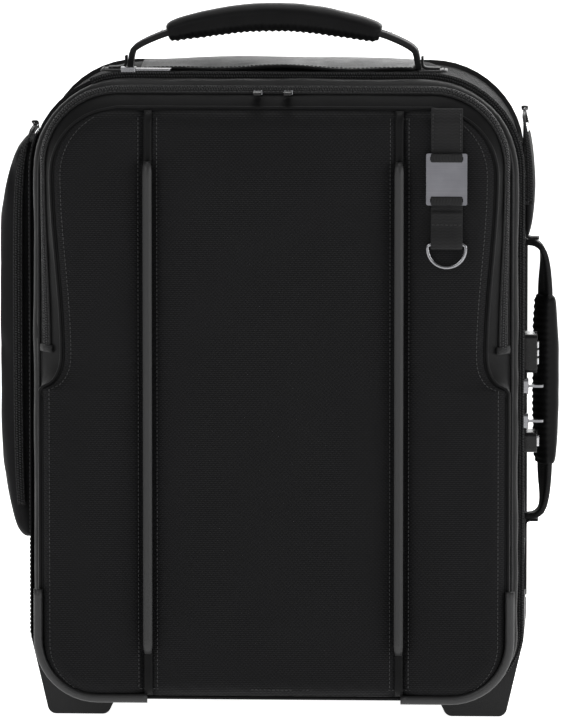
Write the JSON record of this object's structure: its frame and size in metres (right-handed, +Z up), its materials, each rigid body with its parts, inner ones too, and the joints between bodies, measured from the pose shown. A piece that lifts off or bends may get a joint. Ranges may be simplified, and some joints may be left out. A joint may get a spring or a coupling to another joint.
{
  "type": "travel backpack",
  "caption": "Wheeled carry-on backpack with hinged main lid, front pocket, side pockets, telescopic handle, carry handles, combination lock and D-ring strap.",
  "frame": {"origin": "on the floor, under the middle of the pack", "axes": "+Z up, the front panel faces -Y, +X to the right seen from the front"},
  "size_m": [0.4499, 0.2466, 0.5724],
  "materials": {
    "ballistic_fabric": "woven nylon",
    "lining_fabric": "fine woven lining",
    "frame_plastic": "pressed sheet",
    "mesh_padding": "air mesh over foam",
    "grip_padding": "padded neoprene",
    "webbing": "ribbed webbing",
    "rubber_trim": "satin",
    "zipper_coil": "coil on tape",
    "zipper_metal": "black nickel",
    "pull_plastic": "moulded",
    "moulded_plastic": "fine texture",
    "button_plastic": "smooth",
    "tube_aluminium": "dark anodised",
    "wheel_tread": "smooth tread",
    "hub_plastic": "moulded",
    "axle_steel": "turned",
    "lock_case": "polished",
    "lock_metal": "polished",
    "plate_metal": "brushed gunmetal",
    "ring_metal": "dark chrome"
  },
  "bodies": {
    "case": {"axles": "axle_steel", "back_pad_left": "mesh_padding", "back_pad_right": "mesh_padding", "back_panel": "ballistic_fabric", "case_lining": "lining_fabric", "case_shell": "ballistic_fabric", "corner_guard_left": "moulded_plastic", "corner_guard_right": "moulded_plastic", "frame_board": "frame_plastic", "handle_tray": "moulded_plastic", "kick_plate": "moulded_plastic", "lock_body": "lock_case", "lower_strap_left": "webbing", "lower_strap_right": "webbing", "main_zipper": "zipper_coil", "shoulder_strap_left": "mesh_padding", "shoulder_strap_right": "mesh_padding", "side_handle_anchors": "webbing", "strap_adjusters": "moulded_plastic", "top_handle_anchors": "webbing", "trolley_foot": "moulded_plastic", "trolley_tube_left": "tube_aluminium", "trolley_tube_right": "tube_aluminium"},
    "trolley_stage": {"stage_tube_left": "tube_aluminium", "stage_tube_right": "tube_aluminium"},
    "trolley_top": {"inner_tube_left": "tube_aluminium", "inner_tube_right": "tube_aluminium", "trolley_grip": "moulded_plastic"},
    "trolley_button": {"trolley_button": "button_plastic"},
    "wheel_left": {"tyre_left": "wheel_tread", "hub_left": "hub_plastic"},
    "wheel_right": {"tyre_right": "wheel_tread", "hub_right": "hub_plastic"},
    "lid": {"lid_shell": "ballistic_fabric", "front_panel_lower": "ballistic_fabric", "seam_bars_lower": "rubber_trim", "corner_bumpers": "rubber_trim", "pocket_zipper": "zipper_coil"},
    "pocket_flap": {"front_panel_upper": "ballistic_fabric", "seam_bars_upper": "rubber_trim", "ring_strap": "webbing"},
    "plate": {"strap_plate": "plate_metal"},
    "ring": {"d_ring": "ring_metal"},
    "pocket_slider_left": {"pocket_slider_left": "zipper_metal"},
    "pocket_slider_right": {"pocket_slider_right": "zipper_metal"},
    "pocket_pull_left": {"pocket_pull_left": "pull_plastic"},
    "pocket_pull_right": {"pocket_pull_right": "pull_plastic"},
    "main_slider_upper": {"main_slider_upper": "zipper_metal"},
    "main_slider_lower": {"main_slider_lower": "zipper_metal"},
    "main_slider_top": {"main_slider_top": "zipper_metal"},
    "dial_1": {"lock_dial_1": "lock_metal"},
    "dial_2": {"lock_dial_2": "lock_metal"},
    "dial_3": {"lock_dial_3": "lock_metal"},
    "lock_button": {"lock_button": "button_plastic"},
    "side_cover_left": {"side_pocket_left": "ballistic_fabric"},
    "side_cover_right": {"side_pocket_right": "ballistic_fabric"},
    "top_handle": {"top_handle_webbing": "webbing", "top_handle_grip": "grip_padding"},
    "side_handle": {"side_handle_webbing": "webbing", "side_handle_grip": "grip_padding"}
  },
  "joints": [
    {"name": "trolley_stage_slide", "type": "slide", "parent": "case", "child": "trolley_stage", "axis": [0, 0, 1], "range_m": [0, 0.24]},
    {"name": "trolley_top_slide", "type": "slide", "parent": "trolley_stage", "child": "trolley_top", "axis": [0, 0, 1], "range_m": [0, 0.24]},
    {"name": "trolley_button_press", "type": "slide", "parent": "trolley_top", "child": "trolley_button", "axis": [0, 0, -1], "range_m": [0, 0.0024], "stiffness_N_per_m": 300, "springref_m": -0.001},
    {"name": "wheel_left_spin", "type": "hinge", "parent": "case", "child": "wheel_left", "pos_m": [-0.164, 0.0923, 0.031], "axis": [1, 0, 0], "continuous": true},
    {"name": "wheel_right_spin", "type": "hinge", "parent": "case", "child": "wheel_right", "pos_m": [0.164, 0.0923, 0.031], "axis": [1, 0, 0], "continuous": true},
    {"name": "lid_open", "type": "hinge", "parent": "case", "child": "lid", "pos_m": [-0.1965, -0.052, 0.269], "axis": [0, 0, 1], "range_deg": [-105, 0]},
    {"name": "pocket_flap_open", "type": "hinge", "parent": "lid", "child": "pocket_flap", "pos_m": [0, -0.11, 0.2675], "axis": [1, 0, 0], "range_deg": [0, 18]},
    {"name": "plate_slide", "type": "slide", "parent": "pocket_flap", "child": "plate", "axis": [0, 0, 1], "range_m": [-0.02, 0.025]},
    {"name": "ring_swing", "type": "hinge", "parent": "pocket_flap", "child": "ring", "pos_m": [0.137, -0.1198, 0.388], "axis": [1, 0, 0], "range_deg": [-140, 0]},
    {"name": "pocket_slider_left_run", "type": "slide", "parent": "lid", "child": "pocket_slider_left", "axis": [1, 0, 0], "range_m": [-0.1, 0]},
    {"name": "pocket_slider_right_run", "type": "slide", "parent": "lid", "child": "pocket_slider_right", "axis": [1, 0, 0], "range_m": [0, 0.1]},
    {"name": "pocket_pull_left_lift", "type": "hinge", "parent": "pocket_slider_left", "child": "pocket_pull_left", "pos_m": [-0.013, -0.097, 0.5062], "axis": [1, 0, 0], "range_deg": [-110, 0]},
    {"name": "pocket_pull_right_lift", "type": "hinge", "parent": "pocket_slider_right", "child": "pocket_pull_right", "pos_m": [0.011, -0.097, 0.5062], "axis": [1, 0, 0], "range_deg": [-110, 0]},
    {"name": "main_slider_upper_run", "type": "slide", "parent": "case", "child": "main_slider_upper", "axis": [0, 0, 1], "range_m": [0, 0.15]},
    {"name": "main_slider_lower_run", "type": "slide", "parent": "case", "child": "main_slider_lower", "axis": [0, 0, 1], "range_m": [-0.12, 0]},
    {"name": "main_slider_top_run", "type": "slide", "parent": "case", "child": "main_slider_top", "axis": [1, 0, 0], "range_m": [0, 0.2]},
    {"name": "dial_1_turn", "type": "hinge", "parent": "case", "child": "dial_1", "pos_m": [0.2025, -0.029, 0.2852], "axis": [0, 0, 1], "continuous": true},
    {"name": "dial_2_turn", "type": "hinge", "parent": "case", "child": "dial_2", "pos_m": [0.2025, -0.029, 0.2918], "axis": [0, 0, 1], "continuous": true},
    {"name": "dial_3_turn", "type": "hinge", "parent": "case", "child": "dial_3", "pos_m": [0.2025, -0.029, 0.2984], "axis": [0, 0, 1], "continuous": true},
    {"name": "lock_button_press", "type": "slide", "parent": "case", "child": "lock_button", "axis": [-1, 0, 0], "range_m": [0, 0.0015], "stiffness_N_per_m": 200, "springref_m": -0.001},
    {"name": "side_cover_left_open", "type": "hinge", "parent": "case", "child": "side_cover_left", "pos_m": [-0.196, 0.047, 0.3], "axis": [0, 0, 1], "range_deg": [-35, 0]},
    {"name": "side_cover_right_open", "type": "hinge", "parent": "case", "child": "side_cover_right", "pos_m": [0.196, 0.041, 0.43], "axis": [0, 0, 1], "range_deg": [0, 35]},
    {"name": "top_handle_fold", "type": "hinge", "parent": "case", "child": "top_handle", "pos_m": [-0.003, -0.028, 0.525], "axis": [1, 0, 0], "range_deg": [-50, 50]},
    {"name": "side_handle_fold", "type": "hinge", "parent": "case", "child": "side_handle", "pos_m": [0.204, 0.018, 0.265], "axis": [0, 0, 1], "range_deg": [-30, 30]}
  ]
}
